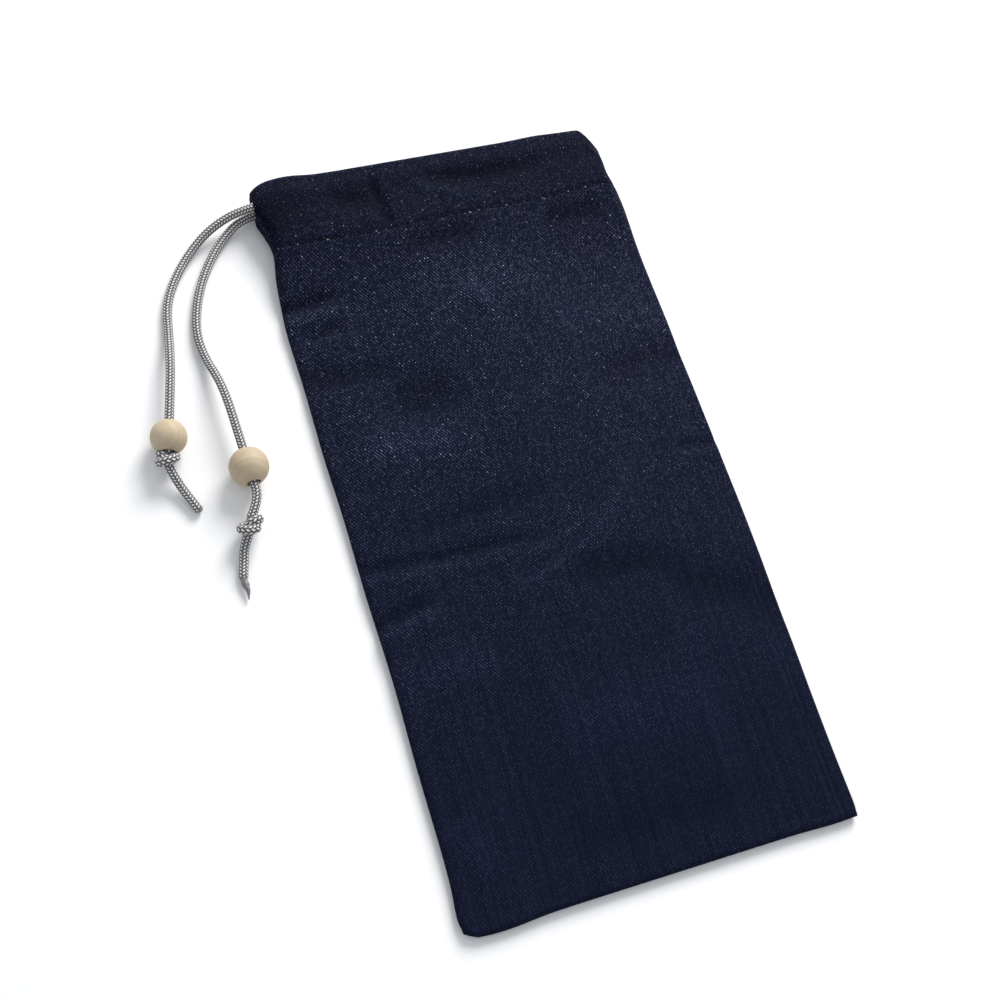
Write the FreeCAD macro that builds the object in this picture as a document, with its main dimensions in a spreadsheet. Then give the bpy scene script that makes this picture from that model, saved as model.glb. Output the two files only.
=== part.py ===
import FreeCAD, Part
import math
import os

from FreeCAD import Placement, Rotation, Vector

# Soft drawstring pouch for spectacles, lying flat on its back panel.
# Frame: origin under the pouch's middle, +X across it, +Y towards the mouth, +Z up. Millimetres.
# The drawcord runs round the mouth inside the turned-down hem, and both of its ends leave at the
# left side seam. Each end carries a bored bead and a knot.

SIZES = {
    "pouch_width": 100.0,
    "pouch_length": 200.0,
    "cloth": 0.6,
    "facing_cloth": 0.5,
    "cord_diameter": 2.4,
    "channel_height": 2.8,
    "mouth_gap": 4.2,
    "hem_depth": 19.5,
    "body_height": 8.8,
    "shoulder_drop": 14.0,
    "toe_length": 28.0,
    "toe_height": 2.0,
    "bottom_lap": 3.0,
    "edge_round": 13.0,
    "wall_inset": 1.0,
    "exit_slot_width": 6.0,
    "corner_cut_length": 12.0,
    "corner_cut_width": 4.0,
    "allowance_width": 7.0,
    "side_allowance_inset": 3.4,
    "side_allowance_start": 17.0,
    "side_allowance_height": 1.1,
    "bottom_allowance_inset": 4.8,
    "bottom_allowance_height": 0.9,
    "side_stitch_inset": 1.7,
    "side_stitch_start": 16.0,
    "side_stitch_end": 12.0,
    "bottom_stitch_inset": 3.6,
    "stitch_pitch": 2.7,
    "stitch_length": 2.1,
    "stitch_thickness": 0.3,
    "bead_a_diameter": 9.1,
    "bead_b_diameter": 9.9,
    "bead_bore": 3.4,
    "knot_a_diameter": 5.9,
    "knot_a_length": 3.6,
    "knot_b_diameter": 6.4,
    "knot_b_length": 4.4,
    "knot_round": 1.3,
    "piece_gap": 0.2,
    "lap": 1.0,
}

# How much of the shorter of two runs the arc that joins them takes up.
ARC_SHARE = 0.45

doc = FreeCAD.newDocument("glasses_pouch")
sheet = doc.addObject("Spreadsheet::Sheet", "sizes")
for row, (alias, value) in enumerate(SIZES.items(), start=1):
    sheet.set(f"A{row}", alias)
    sheet.set(f"B{row}", str(value))
    sheet.setAlias(f"B{row}", alias)
doc.recompute()

# Working sizes that follow from the sheet.
half_width = sheet.pouch_width / 2
half_length = sheet.pouch_length / 2
cord_radius = sheet.cord_diameter / 2
back_channel_top = sheet.cloth + sheet.channel_height
mouth_bottom = back_channel_top + sheet.facing_cloth
mouth_top = mouth_bottom + sheet.mouth_gap
front_channel_bottom = mouth_top + sheet.facing_cloth
front_channel_top = front_channel_bottom + sheet.channel_height
mouth_height = front_channel_top + sheet.cloth
hem_line = half_length - sheet.hem_depth
back_run_height = sheet.cloth + sheet.channel_height / 2
front_run_height = front_channel_bottom + sheet.channel_height / 2

# The flat middle of the front panel, inside which the turned-down hem lies.
inner_edge = half_width - sheet.wall_inset
inner_round = sheet.edge_round - sheet.cloth
flat_half = inner_edge - inner_round - sheet.piece_gap

# Places of the two cord runs along the channel.
front_run_y = 93.0
back_run_y = 94.6
bend_start_x = flat_half + sheet.cord_diameter / 2
exit_x = -44.0

# Routes of the two free cord ends, from inside the exit to the bead's straight stretch.
tail_a_route = [
    Vector(exit_x, front_run_y, front_run_height),
    Vector(-53.2, front_run_y, front_run_height),
    Vector(-61.2, 91.8, 4.6),
    Vector(-67.4, 87.4, 1.7),
    Vector(-73.2, 80.4, 1.25),
    Vector(-76.9, 73.2, 1.25),
    Vector(-78.2, 65.6, 1.4),
    Vector(-79.6, 58.0, 3.8),
    Vector(-81.2, 50.8, 4.55),
]
bead_a_centre = Vector(-85.4, 34.9, sheet.bead_a_diameter / 2)
tail_b_route = [
    Vector(exit_x, back_run_y, back_run_height),
    Vector(-51.6, back_run_y, back_run_height),
    Vector(-59.4, 88.8, 1.4),
    Vector(-65.4, 80.6, 1.25),
    Vector(-69.4, 71.8, 1.25),
    Vector(-71.5, 63.0, 1.25),
    Vector(-71.1, 55.2, 1.6),
    Vector(-69.8, 48.4, 3.9),
    Vector(-69.1, 41.4, 4.95),
]
bead_b_centre = Vector(-68.5, 22.4, sheet.bead_b_diameter / 2)
below_bead_b = Vector(-68.22, 14.2, 4.95)
knot_b_centre = Vector(-70.6, 8.8, 3.8)

# The short cord stubs beyond the knots.
end_a_route = [
    Vector(-87.2, 28.0, 4.2),
    Vector(-86.3, 24.4, 2.8),
    Vector(-84.5, 20.2, 1.4),
    Vector(-82.3, 15.0, 1.25),
]


def body_plane(body, role):
    return next(f for f in body.Origin.OriginFeatures if f.Role == role)


def new_body(label):
    body = doc.addObject("PartDesign::Body", label)
    body.Label = label
    return body


def new_sketch(body, name, role, offset=None):
    sketch = body.newObject("Sketcher::SketchObject", name)
    sketch.AttachmentSupport = [(body_plane(body, role), "")]
    sketch.MapMode = "FlatFace"
    if offset is not None:
        sketch.AttachmentOffset = Placement(offset, Rotation())
    return sketch


def draw_closed(sketch, points):
    """A closed outline of straight edges through the given (u, v) points."""
    for (u1, v1), (u2, v2) in zip(points, points[1:] + points[:1]):
        sketch.addGeometry(Part.LineSegment(Vector(u1, v1, 0), Vector(u2, v2, 0)), False)


def draw_rectangle(sketch, low_u, low_v, high_u, high_v):
    draw_closed(sketch, [(low_u, low_v), (high_u, low_v), (high_u, high_v), (low_u, high_v)])


def pad(body, sketch, name, length, **settings):
    """A pad whose length is a spreadsheet expression or a plain number."""
    feature = body.newObject("PartDesign::Pad", name)
    feature.Profile = sketch
    if isinstance(length, str):
        feature.setExpression("Length", length)
    else:
        feature.Length = length
    for key, value in settings.items():
        setattr(feature, key, value)
    return feature


def draw_dome(sketch, half_base, base, height, corner):
    """A flat-topped arch: level base, quarter-round shoulders that meet the flat top smoothly."""
    radius = (corner**2 + height**2) / (2 * height)
    top = base + height
    flat = half_base - corner
    half_angle = math.asin(corner / radius) / 2
    dip = radius * (1 - math.cos(half_angle))
    out = radius * math.sin(half_angle)
    right = Part.Arc(Vector(half_base, base, 0), Vector(flat + out, top - dip, 0), Vector(flat, top, 0))
    left = Part.Arc(Vector(-flat, top, 0), Vector(-flat - out, top - dip, 0), Vector(-half_base, base, 0))
    sketch.addGeometry(Part.LineSegment(Vector(-half_base, base, 0), Vector(half_base, base, 0)), False)
    sketch.addGeometry(right.toShape().Curve.trim(*right.toShape().ParameterRange), False)
    sketch.addGeometry(Part.LineSegment(Vector(flat, top, 0), Vector(-flat, top, 0)), False)
    sketch.addGeometry(left.toShape().Curve.trim(*left.toShape().ParameterRange), False)


def dome_loft(body, name, kind, stations, half_base, corner):
    """A loft through arches standing across the pouch, each at its own (place along Y, height)."""
    sketches = []
    for number, (along, height) in enumerate(stations):
        sketch = new_sketch(body, f"{name}_{number}", "XZ_Plane", Vector(0, 0, -along))
        draw_dome(sketch, half_base, sheet.cloth, height, corner)
        sketches.append(sketch)
    loft = body.newObject(kind, name)
    loft.Profile = sketches[0]
    loft.Sections = sketches[1:]
    loft.Ruled = True
    return loft


def make_back_panel():
    """The lower face of the folded cloth, flat on the table, its mouth corner at the fold cut back."""
    body = new_body("back_panel")
    sketch = new_sketch(body, "back_outline", "XY_Plane")
    draw_closed(sketch, [
        (-half_width, -half_length), (half_width, -half_length),
        (half_width, half_length - sheet.corner_cut_length),
        (half_width - sheet.corner_cut_width, half_length),
        (-half_width, half_length),
    ])
    pad(body, sketch, "back_cloth", "sizes.cloth")
    return body


def make_front_panel():
    """The upper face: an arched shell, highest at the hem, that runs down to the bottom seam."""
    body = new_body("front_panel")
    rise = sheet.body_height - sheet.cloth
    hem_rise = mouth_height - sheet.cloth
    toe = sheet.toe_height - sheet.cloth
    shoulder = hem_line - sheet.shoulder_drop
    toe_start = -half_length + sheet.toe_length
    stations = [(half_length, hem_rise), (hem_line, hem_rise), (shoulder, rise),
                (toe_start, rise), (-half_length, toe)]
    dome_loft(body, "outer", "PartDesign::AdditiveLoft", stations, half_width, sheet.edge_round)
    doc.recompute()
    whole = body.Shape.Volume
    # The hollow runs out through the mouth, and stops where the two panels meet at the bottom.
    toe_slope = (rise - toe) / sheet.toe_length
    lowered = [(along, height - sheet.cloth) for along, height in stations[:-1]]
    lowered[0] = (half_length + sheet.lap, hem_rise - sheet.cloth)
    lowered.append((-half_length + sheet.bottom_lap, toe + toe_slope * sheet.bottom_lap - sheet.cloth))
    dome_loft(body, "inner", "PartDesign::SubtractiveLoft", lowered, inner_edge, inner_round)
    doc.recompute()
    hollow = body.Shape.Volume
    slot = new_sketch(body, "exit_outline", "XY_Plane", Vector(0, 0, sheet.cloth))
    slot_middle = (front_run_y + back_run_y) / 2
    slot_half = sheet.exit_slot_width / 2
    draw_rectangle(slot, -half_width - sheet.lap, slot_middle - slot_half,
                   -flat_half - sheet.lap, slot_middle + slot_half)
    cut = body.newObject("PartDesign::Pocket", "cord_exit")
    cut.Profile = slot
    cut.Length = mouth_height
    cut.Reversed = True
    doc.recompute()
    print(f"front panel: {whole:.0f} whole, {hollow:.0f} hollow, {body.Shape.Volume:.0f} with the exit cut")
    return body


def make_casing(label, panel_side, channel_side, facing_side):
    """A turned-down hem: a channel section across the mouth, open towards its panel."""
    body = new_body(label)
    cloth = sheet.cloth
    sketch = new_sketch(body, f"{label}_section", "YZ_Plane")
    draw_closed(sketch, [
        (hem_line, panel_side), (hem_line + cloth, panel_side),
        (hem_line + cloth, channel_side), (half_length - cloth, channel_side),
        (half_length - cloth, panel_side), (half_length, panel_side),
        (half_length, facing_side), (hem_line, facing_side),
    ])
    pad(body, sketch, f"{label}_cloth", 2 * flat_half, Midplane=True)
    return body


def make_casings():
    front = make_casing("front_casing", front_channel_top, front_channel_bottom, mouth_top)
    back = make_casing("back_casing", sheet.cloth, back_channel_top, mouth_bottom)
    fold = new_sketch(back, "fold_outline", "XY_Plane", Vector(0, 0, back_channel_top))
    draw_rectangle(fold, flat_half, hem_line, flat_half + sheet.facing_cloth, half_length)
    pad(back, fold, "fold_cloth", front_channel_bottom - back_channel_top)
    # The fold meets the back facing along its end face, so a thin overlap joins them as one cloth.
    lap = new_sketch(back, "lap_outline", "XY_Plane", Vector(0, 0, back_channel_top))
    draw_rectangle(lap, flat_half - sheet.lap, hem_line, flat_half + sheet.facing_cloth, half_length)
    pad(back, lap, "lap_cloth", "sizes.facing_cloth")
    return front, back


def make_allowances():
    """The raw cloth edges turned in along the left side and the bottom, lying on the back panel."""
    side = new_body("side_seam_allowance")
    side_left = -half_width + sheet.side_allowance_inset
    side_low = -half_length + sheet.side_allowance_start
    sketch = new_sketch(side, "side_outline", "XY_Plane", Vector(0, 0, sheet.cloth))
    draw_rectangle(sketch, side_left, side_low, side_left + sheet.allowance_width, hem_line - sheet.lap)
    pad(side, sketch, "side_cloth", "sizes.side_allowance_height")
    bottom = new_body("bottom_seam_allowance")
    bottom_low = -half_length + sheet.bottom_allowance_inset
    sketch = new_sketch(bottom, "bottom_outline", "XY_Plane", Vector(0, 0, sheet.cloth))
    draw_rectangle(sketch, -flat_half, bottom_low, flat_half, bottom_low + sheet.allowance_width)
    pad(bottom, sketch, "bottom_cloth", "sizes.bottom_allowance_height")
    return side, bottom


def make_stitches(label, centres, along, bottom):
    """One row of stitches: a separate short bar of thread at each centre."""
    thick = sheet.stitch_thickness
    size = [thick, thick]
    size[along] = sheet.stitch_length
    bars = []
    for x, y in centres:
        corner = Vector(x - size[0] / 2, y - size[1] / 2, bottom)
        bars.append(Part.makeBox(size[0], size[1], thick, corner))
    feature = doc.addObject("Part::Feature", label)
    feature.Label = label
    feature.Shape = Part.makeCompound(bars)
    return feature


def spread(low, high):
    """Stitch centres at the stitch pitch between two ends."""
    count = int((high - low) / sheet.stitch_pitch)
    return [low + (number + 0.5) * sheet.stitch_pitch for number in range(count)]


def make_seams():
    hem_row = [(x, hem_line + sheet.cloth / 2) for x in spread(-flat_half, flat_half)]
    # The hem's stitches are pulled into the cloth: half their thickness above, flush underneath.
    make_stitches("casing_stitch_front", hem_row, 0, mouth_height - sheet.stitch_thickness / 2)
    make_stitches("casing_stitch_back", hem_row, 0, 0.0)
    side_low = -half_length + sheet.side_stitch_start
    side_high = half_length - sheet.side_stitch_end
    side_row = [(-half_width + sheet.side_stitch_inset, y) for y in spread(side_low, side_high)]
    make_stitches("side_seam_stitch", side_row, 1, sheet.cloth)
    bottom_row = [(x, -half_length + sheet.bottom_stitch_inset) for x in spread(-flat_half, flat_half)]
    make_stitches("bottom_seam_stitch", bottom_row, 0, sheet.cloth)


def rounded_path(label, points):
    """Straight runs joined by tangent arcs, each arc as large as its two runs allow."""
    edges = []
    start = points[0]
    radii = []
    for before, corner, after in zip(points, points[1:], points[2:]):
        into = (corner - before).normalize()
        out = (after - corner).normalize()
        turn = into.getAngle(out)
        set_back = ARC_SHARE * min((corner - before).Length, (after - corner).Length)
        radii.append(set_back / math.tan(turn / 2))
        first = corner - into * set_back
        last = corner + out * set_back
        inward = (out - into).normalize()
        sagitta = radii[-1] * (1 / math.cos(turn / 2) - 1)
        middle = corner + inward * sagitta
        edges.append(Part.LineSegment(start, first).toShape())
        edges.append(Part.Arc(first, middle, last).toShape())
        start = last
    edges.append(Part.LineSegment(start, points[-1]).toShape())
    if radii:
        print(f"{label}: arc radii {', '.join(f'{r:.1f}' for r in radii)}")
    return Part.Wire(edges)


def make_tube(label, path):
    """A round cord along the path, checked against section times length."""
    start = path.Edges[0].Vertexes[0].Point
    heading = path.Edges[0].tangentAt(path.Edges[0].FirstParameter)
    circle = Part.Wire([Part.makeCircle(cord_radius, start, heading)])
    shape = path.makePipeShell([circle], True, False)
    expected = math.pi * cord_radius**2 * path.Length
    print(f"{label}: {path.Length:.1f} long, volume {shape.Volume:.1f} against {expected:.1f}")
    feature = doc.addObject("Part::Feature", label)
    feature.Label = label
    feature.Shape = shape
    return feature


def make_runs():
    """The drawcord inside the channel: along the front, round the fold, back along the back."""
    front_start = Vector(exit_x, front_run_y, front_run_height)
    front_end = Vector(bend_start_x, front_run_y, front_run_height)
    back_end = Vector(bend_start_x, back_run_y, back_run_height)
    back_start = Vector(exit_x, back_run_y, back_run_height)
    make_tube("drawcord_front_run", Part.Wire([Part.LineSegment(front_start, front_end).toShape()]))
    make_tube("drawcord_back_run", Part.Wire([Part.LineSegment(back_end, back_start).toShape()]))
    across = front_end - back_end
    tip = (front_end + back_end) * 0.5 + Vector(across.Length / 2, 0, 0)
    bend = Part.Arc(front_end, tip, back_end).toShape()
    make_tube("drawcord_bend", Part.Wire([bend]))


def make_bead(label, diameter, centre, heading):
    """A round bead with a through bore, its axis along the cord."""
    body = new_body(label)
    ball = new_sketch(body, f"{label}_profile", "XZ_Plane")
    bore = sheet.bead_bore / 2
    radius = getattr(sheet, diameter) / 2
    half = math.sqrt(radius**2 - bore**2)
    arc = Part.Arc(Vector(bore, -half, 0), Vector(radius, 0, 0), Vector(bore, half, 0))
    edge = arc.toShape()
    ball.addGeometry(edge.Curve.trim(*edge.ParameterRange), False)
    ball.addGeometry(Part.LineSegment(Vector(bore, half, 0), Vector(bore, -half, 0)), False)
    turned = body.newObject("PartDesign::Revolution", f"{label}_wood")
    turned.Profile = ball
    turned.ReferenceAxis = (ball, ["V_Axis"])
    turned.Angle = 360.0
    body.Placement = Placement(centre, Rotation(Vector(0, 0, 1), heading))
    return body


def make_knot(label, centre, heading):
    """The plain outer shape of an overhand knot: a short drum with rounded rims."""
    body = new_body(label)
    outline = new_sketch(body, f"{label}_outline", "XY_Plane")
    radius = getattr(sheet, f"{label}_diameter") / 2
    outline.addGeometry(Part.Circle(Vector(0, 0, 0), Vector(0, 0, 1), radius), False)
    drum = pad(body, outline, f"{label}_drum", f"sizes.{label}_length", Midplane=True)
    doc.recompute()
    rims = [f"Edge{n + 1}" for n, e in enumerate(body.Shape.Edges) if e.Closed]
    rounded = body.newObject("PartDesign::Fillet", f"{label}_rims")
    rounded.Base = (drum, rims)
    rounded.setExpression("Radius", "sizes.knot_round")
    body.Placement = Placement(centre, Rotation(Vector(0, 0, 1), heading))
    return body


def make_tails():
    """The free cord ends, with a bead, a knot and a stub on each."""
    heading_a = bead_a_centre - tail_a_route[-1]
    heading_a.z = 0
    heading_a.normalize()
    bead_reach = math.sqrt(sheet.bead_a_diameter**2 - sheet.bead_bore**2) / 2
    knot_reach = bead_reach + sheet.piece_gap + sheet.knot_a_length / 2
    knot_a_centre = bead_a_centre + heading_a * knot_reach
    tail_a_end = knot_a_centre - heading_a * (sheet.knot_a_length / 2)
    make_tube("cord_tail_a", rounded_path("cord_tail_a", tail_a_route + [tail_a_end]))
    make_bead("bead_a", "bead_a_diameter", bead_a_centre, heading_a)
    make_knot("knot_a", knot_a_centre, heading_a)
    make_tube("cord_end_a", rounded_path("cord_end_a", end_a_route))

    heading_b = bead_b_centre - tail_b_route[-1]
    heading_b.z = 0
    heading_b.normalize()
    knot_heading = (knot_b_centre - below_bead_b).normalize()
    knot_half = knot_heading * (sheet.knot_b_length / 2)
    tail_b = tail_b_route + [below_bead_b, knot_b_centre - knot_half]
    make_tube("cord_tail_b", rounded_path("cord_tail_b", tail_b))
    make_bead("bead_b", "bead_b_diameter", bead_b_centre, heading_b)
    make_knot("knot_b", knot_b_centre, knot_heading)
    end_b_route = [
        knot_b_centre + knot_half,
        Vector(-72.5, 4.5, 2.8),
        Vector(-74.3, 0.8, 1.6),
        Vector(-75.7, -3.7, 1.25),
        Vector(-76.6, -9.4, 1.25),
    ]
    make_tube("cord_end_b", rounded_path("cord_end_b", end_b_route))


def write_parts():
    doc.recompute()
    nodes = [o for o in doc.Objects if o.TypeId in ("PartDesign::Body", "Part::Feature")]
    for thing in doc.Objects:
        if {"Invalid", "Error"} & set(thing.State):
            raise SystemExit(f"{thing.Name} did not compute: {thing.State}")
    for node in nodes:
        if node.Shape.isNull() or not node.Shape.isValid():
            raise SystemExit(f"{node.Label} has no valid shape")
    os.makedirs("parts", exist_ok=True)
    for node in nodes:
        node.Shape.exportStep(f"parts/{node.Label}.step")
        box = node.Shape.BoundBox
        print(f"{node.Label}: {len(node.Shape.Solids)} solids, {node.Shape.Volume:.1f} mm3, "
              f"z {box.ZMin:.2f} to {box.ZMax:.2f}")


make_back_panel()
make_front_panel()
make_casings()
make_allowances()
make_seams()
make_runs()
make_tails()
write_parts()
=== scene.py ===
import math

import bpy
import numpy as np
from mathutils import Matrix, Vector


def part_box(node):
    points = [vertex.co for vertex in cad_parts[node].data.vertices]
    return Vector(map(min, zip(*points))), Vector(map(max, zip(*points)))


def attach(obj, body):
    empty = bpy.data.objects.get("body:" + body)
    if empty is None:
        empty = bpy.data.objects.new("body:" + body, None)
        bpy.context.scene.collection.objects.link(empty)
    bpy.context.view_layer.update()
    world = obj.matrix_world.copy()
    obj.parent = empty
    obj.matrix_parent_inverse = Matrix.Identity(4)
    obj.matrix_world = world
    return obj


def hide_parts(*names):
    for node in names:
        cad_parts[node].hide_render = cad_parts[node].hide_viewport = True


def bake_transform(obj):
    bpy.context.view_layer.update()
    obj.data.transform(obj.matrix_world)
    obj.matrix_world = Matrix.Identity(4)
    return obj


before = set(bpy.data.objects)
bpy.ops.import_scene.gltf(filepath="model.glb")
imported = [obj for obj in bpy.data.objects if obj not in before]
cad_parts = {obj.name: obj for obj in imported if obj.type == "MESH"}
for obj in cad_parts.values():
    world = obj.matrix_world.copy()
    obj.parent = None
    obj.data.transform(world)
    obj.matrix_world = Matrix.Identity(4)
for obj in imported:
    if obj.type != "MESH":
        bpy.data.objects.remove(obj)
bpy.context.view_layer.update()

# A soft drawstring pouch for spectacles, lying flat. Shapes are worked out in millimetres, and MM
# turns them into metres. +X is across the pouch, +Y towards its mouth, +Z up.

MM = 0.001

pouch_low, pouch_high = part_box("back_panel")
HALF_WIDTH = (pouch_high.x - pouch_low.x) / 2 / MM
HALF_LENGTH = (pouch_high.y - pouch_low.y) / 2 / MM
HEM_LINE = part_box("front_casing")[0].y / MM + 0.3

# Millimetres. HEM_FOLD is the folded hem's thickness, the EDGE values are the radii of the pouch's
# long edges, and the LINE values are places along the pouch.
CORD_DIAMETER = 2.4
CLOTH = 0.6
THREAD = 0.28
STITCH_PITCH = 2.7
HEM_FOLD = 1.3
EDGE_IN_BODY = 1.25
EDGE_IN_HEM = 4.2
CORD_LINE = 95.0
EXIT_LINE = 94.2
EXIT_REACH = 3.0
EXIT_ANGLE = math.radians(40)
BEAD_A_RADIUS = 4.55
BEAD_B_RADIUS = 4.95
BORE_RADIUS = 1.6
BORE_RIM = 0.35

CAMERA_PLACE = Vector((-0.1105, -0.1267, 0.3453))
CAMERA_TARGET = Vector((-0.0090, 0.0005, 0.0))
CAMERA_ROLL = math.radians(22.44)
CAMERA_LENS = 54.0
WINDOW_PLACE = Vector((0.62, 0.80, 0.66))
WINDOW_SIZE = 0.70
WINDOW_POWER = 20.0
FLOOR_REACH = 3.0
FLOOR_DROP = 0.00002

# Centres and headings of the beads, in metres.
BEAD_A = Vector((-0.0854, 0.0349, 0.00455))
BEAD_B = Vector((-0.0685, 0.0224, 0.00495))
HEADING_A = Vector((0.2554, 0.9668, 0.0))
HEADING_B = Vector((-0.0316, 0.9995, 0.0))

# Routes of the cord, in metres: the two free ends, from inside the hem out to the knots, the short
# stubs past the knots, and the loop through the hem, out along the front and home along the back.
ROUTE_A = [
    (-0.044, 0.095, 0.0063), (-0.052, 0.095, 0.0056), (-0.0606, 0.0926, 0.0034),
    (-0.0674, 0.0878, 0.0015), (-0.0734, 0.0804, 0.00125), (-0.0771, 0.0732, 0.00125),
    (-0.0784, 0.0656, 0.0014), (-0.0797, 0.058, 0.0038), (-0.0812, 0.0508, 0.00455),
    (-0.0865, 0.0308, 0.00455),
]
ROUTE_B = [
    (-0.044, 0.0948, 0.002), (-0.0514, 0.0946, 0.0028), (-0.0594, 0.0888, 0.0014),
    (-0.0655, 0.0806, 0.00125), (-0.0696, 0.0718, 0.00125), (-0.0718, 0.063, 0.00125),
    (-0.0711, 0.0552, 0.0016), (-0.0697, 0.0484, 0.0039), (-0.069, 0.0414, 0.00495),
    (-0.06874, 0.03, 0.00495), (-0.06839, 0.019, 0.00495), (-0.06822, 0.0136, 0.00495),
]
KNOT_A = Vector((-0.0864, 0.0295, 0.0044))
KNOT_B = Vector((-0.0722, 0.0077, 0.0038))
STUB_A = [(-0.0862, 0.0244, 0.0026), (-0.0845, 0.0202, 0.0014), (-0.0823, 0.015, 0.00125)]
STUB_B = [
    (-0.0746, 0.0032, 0.0022), (-0.0755, -0.0004, 0.0013), (-0.0767, -0.0044, 0.00125),
    (-0.0765, -0.0064, 0.00125), (-0.0762, -0.0078, 0.0012), (-0.0767, -0.01, 0.0009),
]
LOOP = [
    (-0.044, 0.095, 0.0063), (-0.037, 0.095, 0.0065), (0.0, 0.095, 0.0065),
    (0.039, 0.095, 0.0065), (0.044, 0.0947, 0.0064), (0.0466, 0.093, 0.0062),
    (0.048, 0.0914, 0.0054), (0.0483, 0.091, 0.0042), (0.048, 0.0914, 0.003),
    (0.0466, 0.093, 0.0022), (0.044, 0.0945, 0.002), (0.039, 0.0948, 0.0019),
    (0.0, 0.0948, 0.0019), (-0.037, 0.0948, 0.0019), (-0.044, 0.0948, 0.002),
]


# ---- Small helpers

def smooth(t):
    """0 below 0, 1 above 1, and an even S-curve between."""
    t = np.clip(t, 0.0, 1.0)
    return t * t * (3.0 - 2.0 * t)


def bump(t, centre, width):
    """A soft hill of height 1."""
    return np.exp(-(((t - centre) / width) ** 2))


def add_object(name, data):
    thing = bpy.data.objects.new(name, data)
    bpy.context.scene.collection.objects.link(thing)
    return thing


def new_mesh(name, points, faces, material):
    mesh = bpy.data.meshes.new(name)
    mesh.from_pydata([tuple(p) for p in points], [], faces)
    mesh.update()
    mesh.polygons.foreach_set("use_smooth", [True] * len(mesh.polygons))
    mesh.materials.append(material)
    return add_object(name, mesh)


def point_values(piece, name, values):
    """Stores one number or one vector per vertex, for the material to read."""
    values = np.asarray(values, np.float32)
    kind, field = ("FLOAT", "value") if values.ndim == 1 else ("FLOAT_VECTOR", "vector")
    layer = piece.data.attributes.new(name, kind, "POINT")
    layer.data.foreach_set(field, values.ravel())


def grid_faces(rows, columns, first=0, close_columns=False):
    """Quads of a grid of vertices stored row by row."""
    faces = []
    last = columns if close_columns else columns - 1
    for r in range(rows - 1):
        for c in range(last):
            d = (c + 1) % columns
            a = first + r * columns
            b = a + columns
            faces.append((a + c, a + d, b + d, b + c))
    return faces


# ---- Materials

class Nodes:
    """A short way to build a material's node tree."""

    def __init__(self, name):
        self.material = bpy.data.materials.new(name)
        self.material.use_nodes = True
        self.tree = self.material.node_tree
        self.shader = self.tree.nodes["Principled BSDF"]

    def add(self, kind, inputs=None, **settings):
        node = self.tree.nodes.new(kind)
        for key, value in settings.items():
            setattr(node, key, value)
        for key, value in (inputs or {}).items():
            self.set(node.inputs[key], value)
        return node

    def set(self, socket, value):
        if isinstance(value, bpy.types.NodeSocket):
            self.tree.links.new(value, socket)
        elif isinstance(value, bpy.types.Node):
            self.tree.links.new(value.outputs[0], socket)
        else:
            socket.default_value = value

    def math(self, operation, a, b=0.0, c=0.0):
        return self.add("ShaderNodeMath", {0: a, 1: b, 2: c}, operation=operation)

    def times(self, a, b):
        return self.math("MULTIPLY", a, b)

    def times_add(self, a, b, c):
        return self.math("MULTIPLY_ADD", a, b, c)

    def chance(self, value):
        """A random number from 0 to 1 for each whole value."""
        noise = self.add("ShaderNodeTexWhiteNoise", {1: value}, noise_dimensions="1D")
        return noise.outputs["Value"]

    def mix(self, factor, a, b):
        node = self.add("ShaderNodeMix", data_type="RGBA")
        self.set(node.inputs[0], factor)
        self.set(node.inputs[6], a)
        self.set(node.inputs[7], b)
        return node.outputs[2]

    def ramp(self, factor, *stops):
        node = self.add("ShaderNodeValToRGB", {0: factor})
        elements = node.color_ramp.elements
        while len(elements) < len(stops):
            elements.new(0.5)
        for element, (place, colour) in zip(elements, stops):
            element.position = place
            element.color = colour
        return node

    def span(self, value, low, high, to_low=0.0, to_high=1.0):
        return self.add("ShaderNodeMapRange", {0: value, 1: low, 2: high, 3: to_low, 4: to_high})

    def attribute(self, name, output="Fac"):
        return self.add("ShaderNodeAttribute", attribute_name=name).outputs[output]

    def object_place(self):
        return self.add("ShaderNodeTexCoord").outputs["Object"]

    def noise(self, vector, scale, detail=2.0, rough=0.5):
        inputs = {"Vector": vector, "Scale": scale, "Detail": detail, "Roughness": rough}
        return self.add("ShaderNodeTexNoise", inputs).outputs["Fac"]

    def finish(self, colour=None, roughness=None, height=None, strength=0.5, distance=0.0001, **fixed):
        if colour is not None:
            self.set(self.shader.inputs["Base Color"], colour)
        if roughness is not None:
            self.set(self.shader.inputs["Roughness"], roughness)
        if height is not None:
            inputs = {"Height": height, "Strength": strength, "Distance": distance}
            normal = self.add("ShaderNodeBump", inputs)
            self.set(self.shader.inputs["Normal"], normal)
        for key, value in fixed.items():
            self.shader.inputs[key.replace("_", " ")].default_value = value
        return self.material


def grey(value, blue=1.0):
    return (value, value, value * blue, 1.0)


# The weave in millimetres: its pitches, neps and needle holes with painted glints (a glint's width is
# a share of the stitch pitch). Then how far crease wear with painted shade, and uneven yarn, lighten or
# darken it, and its colours, the darkest of them painted shade.
WARP_PITCH = 0.29
WEFT_PITCH = 0.40
NEP_SPACING = 0.85
NEP_SIZE = 0.15
HOLE_WIDTH = 0.065
HOLE_LENGTH = 0.17
HOLE_OFFSET = 0.12
CREASE_WEAR_AND_SHADE = 0.42
UNEVEN_YARN = 0.42
WARP_DARK = (0.0017, 0.0027, 0.0098, 1.0)
WARP_LIGHT = (0.0044, 0.0063, 0.0186, 1.0)
WARP_MID = (0.0029, 0.0043, 0.0138, 1.0)
PAINTED_SHADE_NAVY = (0.0006, 0.0009, 0.0030, 1.0)
WEFT_DYE = (0.082, 0.088, 0.134, 1.0)
PALE_WEFT_AND_GLINT = (0.30, 0.32, 0.40, 1.0)


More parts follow.
